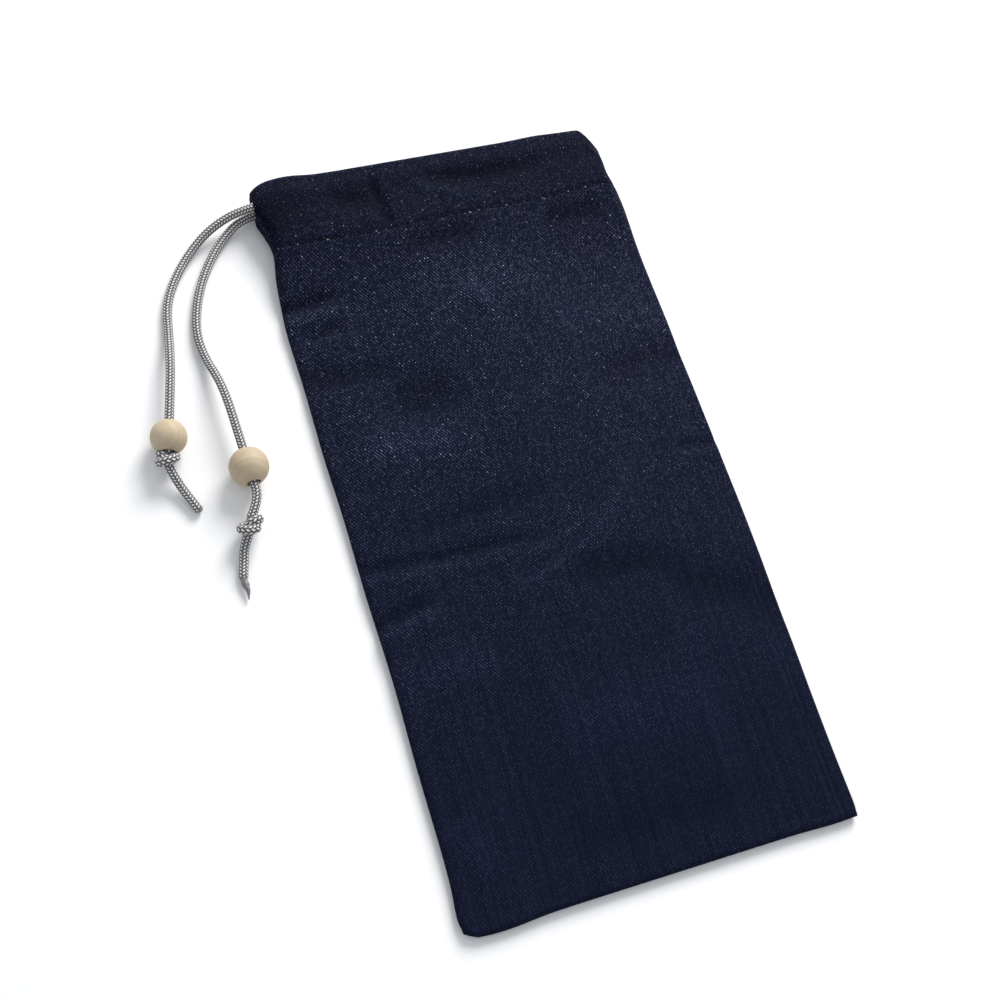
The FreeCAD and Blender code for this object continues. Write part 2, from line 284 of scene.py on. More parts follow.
def twill_material():
    """Navy warp-faced twill: warp yarns along the pouch, a paler weft that shows in diagonal flecks."""
    n = Nodes("navy_twill")
    flat = n.attribute("flat", "Vector")
    parts = n.add("ShaderNodeSeparateXYZ", {0: flat})
    worn_and_shaded = n.attribute("wear_and_shade")
    # Yarns wander a little, so the rows aren't ruled.
    drift = n.noise(flat, 0.06, 1.0)
    across = n.times_add(drift, 0.5, n.math("DIVIDE", parts.outputs[0], WARP_PITCH))
    along = n.times_add(drift, -0.5, n.math("DIVIDE", parts.outputs[1], WEFT_PITCH))
    warp = n.math("FLOOR", across)
    weft = n.math("FLOOR", along)
    in_warp = n.math("FRACT", across)
    in_weft = n.math("FRACT", along)
    step = n.math("FLOORED_MODULO", n.math("ADD", warp, weft), 3.0)
    weft_up = n.math("LESS_THAN", step, 0.5)
    warp_round = n.math("SINE", n.times(in_warp, math.pi))
    weft_round = n.math("SINE", n.times(in_weft, math.pi))
    cell = n.add("ShaderNodeCombineXYZ", {0: warp, 1: weft})
    luck = n.add("ShaderNodeTexWhiteNoise", {0: cell}, noise_dimensions="3D").outputs["Value"]
    yarn = n.chance(warp)
    fleck = n.times(weft_up, n.times(warp_round, weft_round))
    fleck = n.times(fleck, n.times_add(n.math("POWER", luck, 2.2), 1.3, 0.06))
    upper = n.span(parts.outputs[1], -70.0, 60.0, 0.0, 1.0)
    fleck = n.times(fleck, n.span(upper, 0, 1, 0.22, 1.0))
    fleck = n.times(fleck, n.times_add(worn_and_shaded, 0.35, 1.0))
    cloudy = n.noise(flat, 0.05, 3.0)
    warp_dye = n.mix(yarn, WARP_DARK, WARP_LIGHT)
    warp_dye = n.mix(n.span(cloudy, 0.35, 0.65, 0.0, 0.5), warp_dye, WARP_MID)
    # Uneven yarn: thick and thin places, and now and then a neppy white fleck.
    slub = n.noise(flat, 1.7, 3.0, 0.75)
    uneven = n.times(n.span(slub, 0.32, 0.68, -1.0, 1.0), n.span(upper, 0, 1, 0.15, 1.6))
    bright = n.times(n.span(luck, 0.985, 1.0), n.times(weft_up, upper))
    weft_dye = n.mix(bright, WEFT_DYE, PALE_WEFT_AND_GLINT)
    colour = n.mix(fleck, warp_dye, weft_dye)
    # Crease wear with painted shade, and painted shade on the hem, lighten and darken the cloth.
    gain = n.times_add(worn_and_shaded, CREASE_WEAR_AND_SHADE, n.span(upper, 0, 1, 1.30, 1.18))
    gain = n.times_add(uneven, UNEVEN_YARN, gain)
    toned_and_shaded = n.add("ShaderNodeVectorMath", {0: colour, 3: n.math("MAXIMUM", gain, 0.15)},
                 operation="SCALE").outputs[0]
    # Painted shade: the cloth darkens in the left seam's groove, in the bottom seam's tuck and along the
    # stitch line's groove.
    colour = n.mix(n.times(n.attribute("shade"), 0.6), toned_and_shaded, PAINTED_SHADE_NAVY)
    nep = n.times(neps(n, flat), n.span(upper, 0, 1, 0.25, 1.0))
    colour = n.mix(nep, colour, PALE_WEFT_AND_GLINT)
    # Painted glints at the needle holes.
    colour = n.mix(needle_hole_glints(n, parts), colour, PALE_WEFT_AND_GLINT)
    height = n.times_add(warp_round, 0.6, n.times(weft_round, 0.4))
    height = n.math("SUBTRACT", height, n.times(weft_up, 0.5))
    height = n.times_add(slub, 0.5, height)
    return n.finish(colour, 0.86, height, 0.20, 0.00010, Specular_IOR_Level=0.05)


def neps(n, flat):
    """Neps: small knots of pale fibre caught in the yarn, a few of them bright."""
    spots = n.add("ShaderNodeTexVoronoi", {"Vector": flat, "Scale": 1.0 / NEP_SPACING})
    dot = n.span(spots.outputs["Distance"], NEP_SIZE, NEP_SIZE * 0.6)
    luck = n.add("ShaderNodeSeparateColor", {0: spots.outputs["Color"]}).outputs[0]
    bright = n.math("POWER", luck, 6.0)
    return n.times(dot, n.times_add(bright, 0.45, 0.04))


def needle_hole_glints(n, parts):
    """Painted glints: pale specks at some of the needle holes along the stitch line."""
    place = n.math("DIVIDE", parts.outputs[0], STITCH_PITCH)
    hole = n.math("ROUND", place)
    off_centre = n.math("ABSOLUTE", n.math("SUBTRACT", place, hole))
    off_line = n.math("ABSOLUTE", n.math("SUBTRACT", parts.outputs[1], HEM_LINE - HOLE_OFFSET))
    inside = n.times(n.math("LESS_THAN", off_centre, HOLE_WIDTH),
                     n.math("LESS_THAN", off_line, HOLE_LENGTH))
    luck = n.chance(hole)
    return n.times(inside, n.span(luck, 0.55, 1.1))


def thread_material():
    n = Nodes("navy_thread")
    place = n.object_place()
    ply = n.noise(place, 2600.0, 3.0)
    colour = n.ramp(ply, (0.3, (0.0015, 0.0018, 0.005, 1)), (0.7, (0.007, 0.008, 0.018, 1)))
    return n.finish(colour, 0.75, ply, 0.4, 0.00005, Specular_IOR_Level=0.1)


def cord_material():
    """Silver-grey polyester braid, with painted light and shade: pale where a strand rides up, dark
    between the strands.
    """
    n = Nodes("grey_braid")
    relief = n.attribute("relief")
    melted = n.attribute("melted")
    fibre = n.attribute("fibre", "Vector")
    fine = n.noise(fibre, 9.0, 4.0, 0.6)
    place = n.object_place()
    mottled = n.noise(place, 900.0, 3.0, 0.6)
    # Painted highlight on the strands' tops and painted shade between them, from the braid's relief.
    tone = n.times_add(fine, 0.35, n.times(relief, 0.95))
    tone = n.math("ADD", n.math("SUBTRACT", tone, 0.22), n.times(mottled, 0.08))
    strand = n.ramp(tone, (0.14, grey(0.006)), (0.46, grey(0.060)), (0.72, grey(0.30)),
                    (0.95, grey(0.84)))
    glassy = n.ramp(mottled, (0.3, grey(0.07, 1.03)), (0.7, grey(0.26, 1.03)))
    colour = n.mix(melted, strand, glassy)
    height = n.math("ADD", fine, n.times(relief, 0.4))
    rough = n.span(melted, 0.0, 1.0, 0.5, 0.38)
    return n.finish(colour, rough, height, 0.45, 0.00006, Sheen_Weight=0.1, Specular_IOR_Level=0.45)


def wood_material(name, turn, warmth):
    """Bare turned hardwood: fine long grain through the bead, faint rings and tiny pores."""
    n = Nodes(name)
    place = n.attribute("grain", "Vector")
    spun = n.add("ShaderNodeMapping", {"Vector": place, "Rotation": turn})
    stretched = n.add("ShaderNodeMapping", {"Vector": spun, "Scale": (1.0, 1.0, 0.12)})
    warp = n.noise(stretched, 0.25, 2.0)
    rings = n.add("ShaderNodeTexWave", {"Vector": stretched, "Scale": 0.22, "Distortion": 3.0,
                                        "Detail": 2.0, "Detail Scale": 1.2}, wave_type="RINGS")
    fibres = n.noise(stretched, 5.5, 4.0, 0.65)
    pores = n.span(n.noise(stretched, 9.0, 2.0), 0.66, 0.72)
    pale = (0.50, 0.42, 0.30, 1.0)
    deep = (0.39, 0.30, 0.19, 1.0)
    amber = (0.36, 0.25, 0.15, 1.0)
    pore = (0.30, 0.19, 0.10, 1.0)
    bore_dark = (0.20, 0.13, 0.08, 1.0)
    base = n.mix(n.times(rings.outputs["Fac"], 0.35), pale, deep)
    base = n.mix(n.times(n.span(fibres, 0.4, 0.75), 0.35), base, deep)
    base = n.mix(n.span(warp, 0.35, 0.8, 0.0, warmth), base, amber)
    base = n.mix(n.times(pores, 0.5), base, pore)
    bored = n.attribute("bored")
    colour = n.mix(bored, base, bore_dark)
    height = n.math("SUBTRACT", fibres, n.times(pores, 0.6))
    return n.finish(colour, n.span(fibres, 0.3, 0.7, 0.52, 0.66), height, 0.25, 0.00004,
                    Specular_IOR_Level=0.35)


def floor_material():
    n = Nodes("pale_floor")
    place = n.object_place()
    cloud = n.noise(place, 2.0, 2.0)
    colour = n.mix(cloud, (0.83, 0.83, 0.84, 1.0), (0.86, 0.86, 0.87, 1.0))
    return n.finish(colour, 0.8, Specular_IOR_Level=0.1)


# ---- Cords

# The braid's strands, how far one advances per crossing and how proud it stands, and the spacing of
# the rings of vertices that carry it, wider on the long loop to save faces. Millimetres.
STRANDS = 8
STRAND_ADVANCE = 0.86
RELIEF_DEPTH = 0.17
RING_POINTS = 64
RING_STEP = 0.11
LOOP_RING_STEP = 0.125
KNOT_SQUEEZE = 0.82
KNOT_STEP = 0.2


def spline_points(route):
    """The route's own smooth line, read from a NURBS curve through its control points."""
    data = bpy.data.curves.new("route", "CURVE")
    data.dimensions = "3D"
    data.resolution_u = 48
    line = data.splines.new("NURBS")
    line.points.add(len(route) - 1)
    for point, place in zip(line.points, route):
        point.co = (*place, 1.0)
    line.order_u = 3
    line.use_endpoint_u = True
    carrier = bpy.data.objects.new("route", data)
    mesh = bpy.data.meshes.new_from_object(carrier)
    points = np.array([v.co for v in mesh.vertices], float)
    bpy.data.objects.remove(carrier)
    bpy.data.curves.remove(data)
    bpy.data.meshes.remove(mesh)
    return points


def even_steps(points, step, count=None):
    """The same line, with points an even step apart, and their places along it."""
    lengths = np.concatenate([[0.0], np.cumsum(np.linalg.norm(np.diff(points, axis=0), axis=1))])
    count = count or max(8, int(round(lengths[-1] / step)))
    places = np.linspace(0.0, lengths[-1], count + 1)
    return np.stack([np.interp(places, lengths, points[:, k]) for k in range(3)], 1), places


def carried_frames(points):
    """Two cross directions at each point of a line, carried along it without twist."""
    tangents = np.gradient(points, axis=0)
    tangents /= np.linalg.norm(tangents, axis=1)[:, None]
    side = np.cross(tangents[0], (0.0, 0.0, 1.0))
    if np.linalg.norm(side) < 0.1:
        side = np.cross(tangents[0], (1.0, 0.0, 0.0))
    sides = [side / np.linalg.norm(side)]
    for tangent in tangents[1:]:
        side = sides[-1] - tangent * sides[-1].dot(tangent)
        sides.append(side / np.linalg.norm(side))
    sides = np.array(sides)
    return sides, np.cross(tangents, sides)


def braid(angle, along):
    """Height of a two-over two-under round braid, 0 between strands to 1 on top of one, and a
    place along and across the strand that is on top."""
    right = STRANDS * angle / (2 * np.pi) + along / STRAND_ADVANCE
    left = STRANDS * angle / (2 * np.pi) - along / STRAND_ADVANCE
    i = np.floor(right)
    j = np.floor(left)
    phase = np.mod(i + j, 4)
    right_up = phase < 2
    float_start = np.where(right_up, j - phase, i - (phase - 2))
    travel = (np.where(right_up, left, right) - float_start) / 2
    across = np.where(right_up, right - i, left - j) - 0.5
    crown = np.sqrt(np.clip(1 - (2 * across) ** 2 * 0.96, 0, 1))
    arch = np.sin(np.pi * np.clip(travel, 0, 1)) ** 0.55
    strand = np.where(right_up, i, j + 100)
    return crown * arch, np.stack([travel * 0.5, across * 2.2, strand], -1)


def round_section(share, along):
    """The plain cord: round, and not melted anywhere."""
    radius = np.full(len(share), CORD_DIAMETER / 2)
    return radius, radius, 0 * share


def cord_tube(name, route, material, shape=round_section, ring_step=RING_STEP):
    """A braided tube along the route. shape gives, for the share of the length that is gone, the
    section's half-width and half-height in millimetres and how far the braid has melted."""
    line = route if isinstance(route, np.ndarray) else spline_points(route)
    points, places = even_steps(line, ring_step * MM)
    sides, ups = carried_frames(points)
    angle = np.linspace(0, 2 * np.pi, RING_POINTS, endpoint=False)
    along = places / MM
    height, fibre = braid(angle[None, :], along[:, None])
    share = places / places[-1]
    half_width, half_height, melted = shape(share, along)
    depth = RELIEF_DEPTH * (1 - melted)
    reach = (height - 1.0) * depth[:, None]
    wide = (half_width[:, None] + reach) * np.cos(angle)[None, :]
    high = (half_height[:, None] + reach) * np.sin(angle)[None, :]
    spots = (points[:, None, :] + (wide[..., None] * sides[:, None, :]
             + high[..., None] * ups[:, None, :]) * MM)
    rings = len(points)
    spots = spots.reshape(-1, 3)
    faces = grid_faces(rings, RING_POINTS, close_columns=True)
    ends = [points[0], points[-1]]
    spots = np.concatenate([spots, ends])
    first, last = rings * RING_POINTS, rings * RING_POINTS + 1
    base = (rings - 1) * RING_POINTS
    for c in range(RING_POINTS):
        d = (c + 1) % RING_POINTS
        faces.append((first, d, c))
        faces.append((last, base + c, base + d))
    piece = new_mesh(name, spots, faces, material)
    point_values(piece, "relief", np.concatenate([height.ravel(), [0.3, 0.3]]))
    point_values(piece, "fibre", np.concatenate([fibre.reshape(-1, 3), [[0, 0, 0], [0, 0, 1]]]))
    spread = np.repeat(melted, RING_POINTS)
    point_values(piece, "melted", np.concatenate([spread, [melted[0], melted[-1]]]))
    return piece, points


def overhand_knot(length=15.0, contact=0.84, count=64, steps=600):
    """The line of a tight overhand knot, in cord diameters, its ends leaving along -Y and +Y: a
    loose one whose ends are drawn apart while the cord keeps its length. The cord is soft, so where
    it presses on itself its centres come a little closer than one diameter."""
    t = np.linspace(-2.2, 2.2, 400)
    line = np.stack([t**3 - 3 * t, (t**5 - 10 * t) * 0.22, (t**4 - 4 * t**2) * 0.6], 1)
    gap = length / (count - 1)
    line, places = even_steps(line, 0.0, count - 1)
    line *= length / places[-1]
    order = np.arange(count)
    far_apart = np.abs(order[:, None] - order[None, :]) > round(1.9 * contact / gap)
    pull = 0.01 * np.sign(line[-1, 1] - line[0, 1])
    for _ in range(steps):
        line[:2, 1] -= pull
        line[-2:, 1] += pull
        line[:2, [0, 2]] *= 0.95
        line[-2:, [0, 2]] *= 0.95
        for _ in range(8):
            apart = line[None, :, :] - line[:, None, :]
            distance = np.linalg.norm(apart, axis=2) + 1e-9
            push = np.where(far_apart & (distance < contact), (contact - distance) / distance, 0.0)
            line -= 0.2 * (apart * push[..., None]).sum(1)
            line[1:-1] += 0.06 * ((line[:-2] + line[2:]) / 2 - line[1:-1])
            for start in (0, 1):
                near, far = line[start:-1:2], line[start + 1::2]
                span = far - near[: len(far)]
                slip = span * (1 - gap / np.linalg.norm(span, axis=1)[:, None]) * 0.5
                near[: len(far)] += slip
                far -= slip
    tied = np.flatnonzero(np.abs(line[:, 1]) < 1.2)
    line = line[tied[0]: tied[-1] + 1]
    return line if line[0, 1] < line[-1, 1] else line[::-1]


# ---- Stage and camera

def looking(place, target):
    """The placing of a camera or a light that stands at place and looks at target."""
    aim = (target - place).to_track_quat("-Z", "Y").to_matrix().to_4x4()
    return Matrix.Translation(place) @ aim


def make_camera():
    """Above and to the left of the pouch, looking down at it along the camera's own roll."""
    data = bpy.data.cameras.new("camera")
    data.lens = CAMERA_LENS
    data.clip_start = 0.01
    camera = add_object("camera", data)
    roll = Matrix.Rotation(CAMERA_ROLL, 4, "Z")
    camera.matrix_world = looking(CAMERA_PLACE, CAMERA_TARGET) @ roll
    bpy.context.scene.camera = camera


def make_window():
    """One soft, slightly warm light from behind the mouth's right corner."""
    data = bpy.data.lights.new("window", "AREA")
    data.shape = "DISK"
    data.size = WINDOW_SIZE
    data.energy = WINDOW_POWER
    data.color = (1.0, 0.98, 0.95)
    light = add_object("window", data)
    light.matrix_world = looking(WINDOW_PLACE, Vector())


def make_stage():
    s = FLOOR_REACH
    corners = [(-s, -s, 0), (s, -s, 0), (s, s, 0), (-s, s, 0)]
    floor = new_mesh("floor", corners, [(0, 1, 2, 3)], floor_material())
    floor.location.z = -FLOOR_DROP
    world = bpy.data.worlds.new("studio")
    world.use_nodes = True
    background = world.node_tree.nodes["Background"]
    background.inputs["Color"].default_value = (0.93, 0.96, 1.0, 1.0)
    background.inputs["Strength"].default_value = 0.70
    bpy.context.scene.world = world
    make_window()
    bpy.context.scene.view_settings.view_transform = "Standard"


make_camera()
make_stage()

# ---- The pouch's cloth

# How finely the cloth is divided: columns across the front, the back and a quarter of a long
# edge, and the rows' steps on the outside, beside the hem's stitches, on the hem's inside and on
# the lining side of the panels.
FRONT_COLUMNS = 172
BACK_COLUMNS = 52
CAP_COLUMNS = 7
ROW_STEP = 0.78
STITCH_ROW_STEP = 0.3
FACING_ROW_STEP = 0.8
LINING_ROW_STEP = 3.0

# Creases pressed into the front panel: the line's points across and along the pouch, the crease's
# height (below 0 is a valley), its half-width, and the share of it that is taken off one side.
CREASES = [
    ([(-49, 64), (-43, 64.5), (-33, 66)], -1.0, 2.0, 0.7),
    ([(-47, 55), (-42, 55), (-34, 57)], -0.6, 1.8, 0.5),
    ([(-45, -5), (-20, -1), (8, -1.5)], -0.55, 3.4, 0.0),
    ([(-50, -10), (-25, -13), (2, -13)], -0.7, 1.8, 0.5),
    ([(-50, -25), (-42, -23), (-33, -21.5)], -0.8, 2.1, 0.9),
    ([(-26, -28), (2, -23), (20, -12), (21, 2)], 0.75, 1.1, -0.5),
    ([(-13, -19), (0, -17), (12, -9)], 0.5, 0.9, -0.4),
    ([(-6, -25), (12, -24), (32, -30)], -0.85, 4.5, 0.0),
    ([(37, 3), (44, 1.5), (51, 2)], -0.6, 1.4, 0.4),
    ([(-16.5, 98), (-17.5, 87), (-17.5, 79)], -0.75, 1.7, 0.0),
    ([(-32, 90.5), (-24, 90.5), (-18, 90)], -0.6, 2.8, 0.0),
    ([(-6, 95.5), (9, 89), (36, 92)], -0.65, 2.5, 0.0),
    ([(-10, 95.8), (0, 84), (16, 84.5)], 0.45, 1.8, 0.0),
    ([(-18, 73), (-4, 77), (9, 74)], -0.85, 3.0, 0.0),
    ([(22, 72), (34, 77), (45, 73)], -0.85, 3.0, 0.0),
    ([(-34, 34), (-22, 30), (-8, 33)], -0.8, 7.0, 0.3),
    ([(-48, 22), (-30, 17), (-10, 18)], 0.8, 6.0, 0.0),
    ([(18, -32), (34, -36), (50, -44)], -0.8, 7.0, 0.3),
    ([(-49, -42), (-36, -39), (-20, -43)], 0.55, 5.0, 0.0),
    ([(-3, 60), (0, 56), (3, 51)], 0.9, 2.2, 0.0),
    ([(-18, 62), (2, 57), (22, 63)], 0.6, 9.0, 0.0),
    ([(-50, 44), (-38, 40), (-24, 42)], -0.7, 3.6, 0.2),
    ([(20, 24), (38, 31), (51, 28)], -0.5, 4.5, 0.2),
    ([(10, 42), (30, 46), (50, 40)], 0.45, 7.0, 0.0),
    ([(-24, -64), (4, -60), (34, -68)], 0.6, 9.0, 0.0),
    ([(-46, -74), (-44, -80), (-40, -92)], 0.55, 4.0, 0.0),
    ([(-30, -88), (0, -86), (34, -90)], -0.5, 5.0, 0.0),
]


# A crease that starts past AT_EDGE starts at the pouch's edge; none reaches further than this from
# its middle.
AT_EDGE = 48
CREASE_REACH_X = 45
CREASE_REACH_Y = 40


def arc_line(points, count=60):
    """A smooth line that bends towards its middle points, which pull it as a Bezier's do."""
    t = np.linspace(0, 1, count)[:, None]
    layer = [np.array(p, float) for p in points]
    layer = [np.broadcast_to(p, (count, 2)) for p in layer]
    while len(layer) > 1:
        layer = [a + (b - a) * t for a, b in zip(layer, layer[1:])]
    return layer[0]


def crease_heights(x, y):
    """How far all the creases together raise the front panel. A crease fades at both ends, or only
    at its inner end where it starts at the pouch's edge."""
    total = np.zeros_like(x)
    for points, height, width, lift in CREASES:
        line = arc_line(points)
        middle_x, middle_y = line.mean(axis=0)
        near = (np.abs(x - middle_x) < CREASE_REACH_X) & (np.abs(y - middle_y) < CREASE_REACH_Y)
        px, py = x[near], y[near]
        gap = np.full(px.shape, 1e9)
        side = np.zeros(px.shape)
        place = np.zeros(px.shape)
        for k, (a, b) in enumerate(zip(line, line[1:])):
            d = b - a
            t = np.clip(((px - a[0]) * d[0] + (py - a[1]) * d[1]) / d.dot(d), 0, 1)
            ox, oy = px - a[0] - t * d[0], py - a[1] - t * d[1]
            distance = np.hypot(ox, oy)
            closer = distance < gap
            gap = np.where(closer, distance, gap)
            side = np.where(closer, np.sign(d[0] * oy - d[1] * ox), side)
            place = np.where(closer, (k + t) / (len(line) - 1), place)
        taper = smooth(place / 0.3) * smooth((1 - place) / 0.3)
        if abs(points[0][0]) > AT_EDGE:
            taper = smooth((1 - place) / 0.35)
        if abs(points[-1][0]) > AT_EDGE:
            taper = smooth(place / 0.35)
        shoulder = lift * (side < 0) * bump(gap, 1.9 * width, 1.3 * width)
        total[near] += height * taper * (bump(gap, 0, width) - shoulder)
    return total


def edge_radius(y):
    rise = smooth((y - 58) / 32)
    return EDGE_IN_BODY + (EDGE_IN_HEM - EDGE_IN_BODY) * rise


def half_width(y):
    """Half the flat cut's width: straight sides and round low corners."""
    corner = np.clip((-HALF_LENGTH + 4 - y) / 4, 0, 1)
    return HALF_WIDTH - 0.9 * (1 - np.sqrt(1 - corner**2))


def outline_shift(across, y):
    """How far the sewn pouch departs from its flat cut, sideways: the left seam is drawn in under
    the cord's exit, and the right fold stands out a little where the panel is fullest."""
    left = 0.65 + 1.9 * bump(y, 82, 7) + 0.6 * bump(y, 70, 9) + 0.4 * smooth((y - 92) / 6)
    left = left - 0.8 * bump(y, EXIT_LINE, 4)
    left = left * smooth((y + 74) / 30) - 0.9 * bump(y, -97, 6)
    right = 1.7 * smooth((y + 92) / 80) * (1 - smooth((y - 72) / 18)) + 0.25
    return left * np.clip((1 - across) / 2, 0, 1) + right * np.clip((1 + across) / 2, 0, 1)


def cut_corner(x, start, reach):
    """A slope from 0 at start to 1 a reach later, its two corners rounded a little."""
    soft = 0.16
    share = (x - start) / reach
    rise = (share + np.sqrt(share**2 + soft**2)) / 2
    return 1 - (1 - rise + np.sqrt((1 - rise) ** 2 + soft**2)) / 2


def end_shift(x, y):
    """How far the lip and the bottom edge depart from straight, along the pouch."""
    lip = 0.9 * bump(x, -39, 6) + 0.3 - 0.7 * smooth((-43 - x) / 6) + 0.35 * bump(x, 32, 6)
    lip = lip - 6.4 * cut_corner(x, 45.6, 3.5)
    low = -0.3 - 0.7 * bump(x, -41, 8) - 0.35 * bump(x, 44, 7) + 1.6 * smooth((-46 - x) / 5) ** 2
    seam = 1.9 * smooth((x - 22) / 28) - 0.8 * bump(x, -22, 13)
    seam = seam * bump(y, HEM_LINE, 8)
    return lip * smooth((y - 76) / 22) + low * smooth((-80 - y) / 20) + seam


def pillow(x, y):
    """How far the front panel rises off the seams' level, before creases."""
    share = np.clip(1 - (x / HALF_WIDTH) ** 2, 0, 1)
    length = smooth((y + HALF_LENGTH) / 70) * smooth((HALF_LENGTH - 6 - y) / 40)
    rise = 2.9 * share**1.5 * length
    rolls = (np.sin(x / 11 + 0.7) * np.sin(y / 17 + 0.4) + 0.7 * np.sin(x / 7.3 - y / 23 + 2.0))
    return rise + 0.22 * rolls * share * length


def hem_waves(x, y):
    """Soft upright puckers of the hem, strongest beside the stitches, and the ridge of the cord."""
    in_hem = smooth((y - 76) / 6) * smooth((101 - y) / 3)
    wave = np.sin(2 * np.pi * x / 7.7 + 0.8 * np.sin(x / 9)) + 0.5 * np.sin(2 * np.pi * x / 4.6 + 1.0)
    beside = bump(y, HEM_LINE, 3.5)
    pucker = 0.07 * wave * in_hem * (0.6 + 0.9 * beside)
    ridge = 0.34 * bump(y, CORD_LINE, 1.9)
    trough = -0.16 * bump(y, CORD_LINE - 4.6, 2.4)
    line = -0.30 * bump(y, HEM_LINE, 0.55)
    holes = -0.10 * bump(y, HEM_LINE, 0.5) * np.cos(2 * np.pi * x / STITCH_PITCH)
    return pucker + ridge + trough + line + holes


def exit_opening(y):
    """How far the left seam stands open where the cord comes out, 0 shut to 1 at its widest."""
    return np.sqrt(np.clip(1 - ((y - EXIT_LINE) / EXIT_REACH) ** 2, 0, 1))


def outer_surface(across, nx, nz, y, seam):
    """A point of the pouch's outside. across is -1 to 1 between the two edges' centres, nx and nz
    are the direction the cloth faces in its cross-section, and seam is 1 at the left seam's line."""
    radius = edge_radius(y)
    width = half_width(y)
    x = (width - radius) * across + radius * nx
    z = radius + radius * nz
    facing_up = np.clip(nz, 0, 1)
    facing_down = np.clip(-nz, 0, 1)
    top = pillow(x, y) + crease_heights(x, y) * smooth((HALF_LENGTH - 2 - np.abs(y)) / 4)
    z = z + facing_up * (top + hem_waves(x, y))
    below = smooth((HALF_LENGTH - 3 - np.abs(y)) / 8)
    z = z + facing_down * np.maximum(0.10 * below * (1 + np.sin(x / 8 + y / 13)), 0)
    z = z + facing_down * 0.30 * bump(y, HEM_LINE, 1.5)
    x = x + 0.12 * np.sin(y / 6.1 + 1) * smooth(-nx) * below + 0.55 * seam
    x = x + outline_shift(across, y)
    return x, z


def section_columns():
    """The cross-section, from the left seam over the front, round the right fold and back under."""
    quarter = math.pi / 2
    columns = [(-1.0, math.pi - quarter * k / CAP_COLUMNS) for k in range(CAP_COLUMNS)]
    columns += [(-1 + 2 * k / FRONT_COLUMNS, quarter) for k in range(FRONT_COLUMNS + 1)]
    columns += [(1.0, quarter - math.pi * k / (2 * CAP_COLUMNS)) for k in range(1, 2 * CAP_COLUMNS)]
    columns += [(1 - 2 * k / BACK_COLUMNS, -quarter) for k in range(BACK_COLUMNS + 1)]
    columns += [(-1.0, -quarter - quarter * k / CAP_COLUMNS) for k in range(1, CAP_COLUMNS + 1)]
    across, turn = np.array(columns).T
    seam = np.zeros(len(across))
    seam[[0, -1]] = 1.0
    seam[[1, -2]] = 0.25
    return across, turn, seam


def hem_thickness(y):
    """Thickness of the folded hem: two layers, with room for the cord between them."""
    reach = np.clip(np.abs(y - CORD_LINE) / 3.4, 0, 1)
    room = np.cos(np.pi / 2 * reach) ** 2
    stitched = bump(y, HEM_LINE, 1.2)
    return HEM_FOLD + 2.4 * room - 0.15 * stitched


def cloth_rows():
    """The cloth's length: up the outside, over the lip, down the hem's inside and the lining side
    of the panel. Gives each row's place, its depth inside the outer surface, and how far it has
    turned down into the bottom seam."""
    rows = []
    bottom = -HALF_LENGTH + EDGE_IN_BODY
    for k in range(6):
        rows.append((bottom, "outside", 0.0, math.pi / 2 * (1 - k / 6)))
    y = bottom
    lip_start = HALF_LENGTH - HEM_FOLD / 2
    while y < lip_start - 0.2:
        rows.append((y, "outside", 0.0, 0.0))
        y += STITCH_ROW_STEP if abs(y - HEM_LINE) < 2.0 else ROW_STEP
    for k in range(7):
        a = math.pi * k / 6
        depth = HEM_FOLD / 2 * (1 - math.cos(a))
        rows.append((lip_start + HEM_FOLD / 2 * math.sin(a), "lip", depth, 0.0))
    y = lip_start - 0.5
    while y > HEM_LINE - 1.6:
        rows.append((y, "facing", 0.0, 0.0))
        y -= FACING_ROW_STEP
    raw_edge = y + FACING_ROW_STEP
    rows.append((raw_edge - 0.05, "facing", -0.15, 0.0))
    rows.append((raw_edge - 0.02, "lining", 0.15, 0.0))
    y = raw_edge - 0.3
    while y > bottom + 2.0:
        rows.append((y, "lining", 0.0, 0.0))
        y -= LINING_ROW_STEP
    for tuck in (0.0, math.pi / 4, math.pi / 2 * 0.96):
        rows.append((bottom, "lining", 0.0, tuck))
    return rows


def surface_grid(across, turn, seam, y):
    """Outer points, in millimetres, for every mix of a row y and a column."""
    yy, across = np.meshgrid(y, across, indexing="ij")
    open_by = exit_opening(yy) * EXIT_ANGLE
    angle = turn + 0 * yy
    left = across <= -1
    upper = left & (np.sin(angle) > -0.001)
    full = math.pi / 2
    angle = np.where(upper, full + (angle - full) * (full - open_by) / full, angle)
    angle = np.where(left & ~upper, -full + (angle + full) * (full - open_by) / full, angle)
    seam = seam * (1 - exit_opening(yy))
    x, z = outer_surface(across, np.cos(angle), np.sin(angle), yy, seam)
    return np.stack([x, yy, z], -1), np.cos(angle), np.sin(angle)


def seam_edge_faces(y, columns, column, turned_over):
    """Closes the thin gap between the cloth's outer and inner rows along one seam edge."""
    faces = []
    outer, inner = 0, len(y) - 1
    while outer + 1 < inner:
        if y[outer + 1] <= y[inner - 1]:
            triangle = (outer, outer + 1, inner)
            outer += 1
        else:
            triangle = (outer, inner - 1, inner)
            inner -= 1
        face = tuple(row * columns + column for row in triangle)
        faces.append(face[::-1] if turned_over else face)
    return faces


